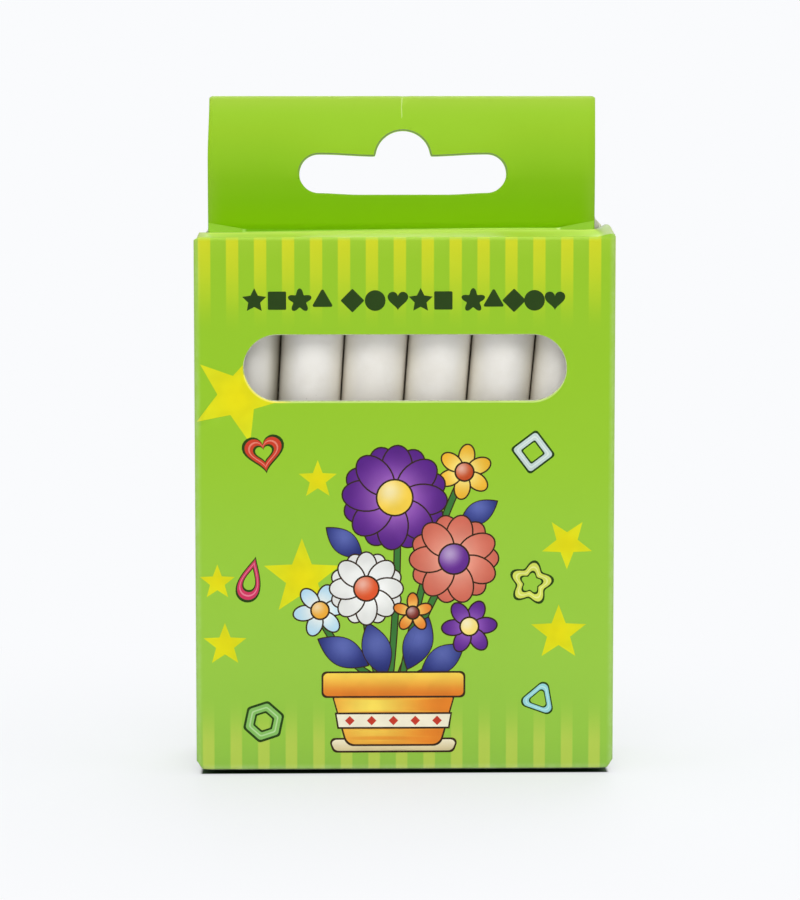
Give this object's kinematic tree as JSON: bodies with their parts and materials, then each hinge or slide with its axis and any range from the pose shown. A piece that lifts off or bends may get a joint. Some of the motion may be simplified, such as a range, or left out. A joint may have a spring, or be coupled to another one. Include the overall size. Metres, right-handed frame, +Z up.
{
  "type": "boxed chalk set",
  "caption": "Hanging card carton with a front window and a tuck-in lid, holding two rows of tapered white chalk sticks.",
  "frame": {"origin": "middle of the carton's bottom, on the surface that it stands on", "axes": "+Z up, -Y out of the front panel with the window, the header at the back (+Y), +X to the right seen from the front"},
  "size_m": [0.065, 0.024, 0.1042],
  "materials": {
    "card": "semi-gloss coated print outside, bare white board inside",
    "chalk": "matt, powdery"
  },
  "bodies": {
    "carton": {"carton": "card", "chalk_01": "chalk", "chalk_02": "chalk", "chalk_03": "chalk", "chalk_04": "chalk", "chalk_05": "chalk", "chalk_06": "chalk", "chalk_07": "chalk", "chalk_08": "chalk", "chalk_09": "chalk", "chalk_10": "chalk", "chalk_11": "chalk", "chalk_12": "chalk"},
    "lid": {"lid": "card"}
  },
  "joints": [
    {"name": "lid_hinge", "type": "hinge", "parent": "carton", "child": "lid", "pos_m": [0, 0.0112, 0.0829], "axis": [-1, 0, 0], "range_deg": [0, 75]}
  ]
}
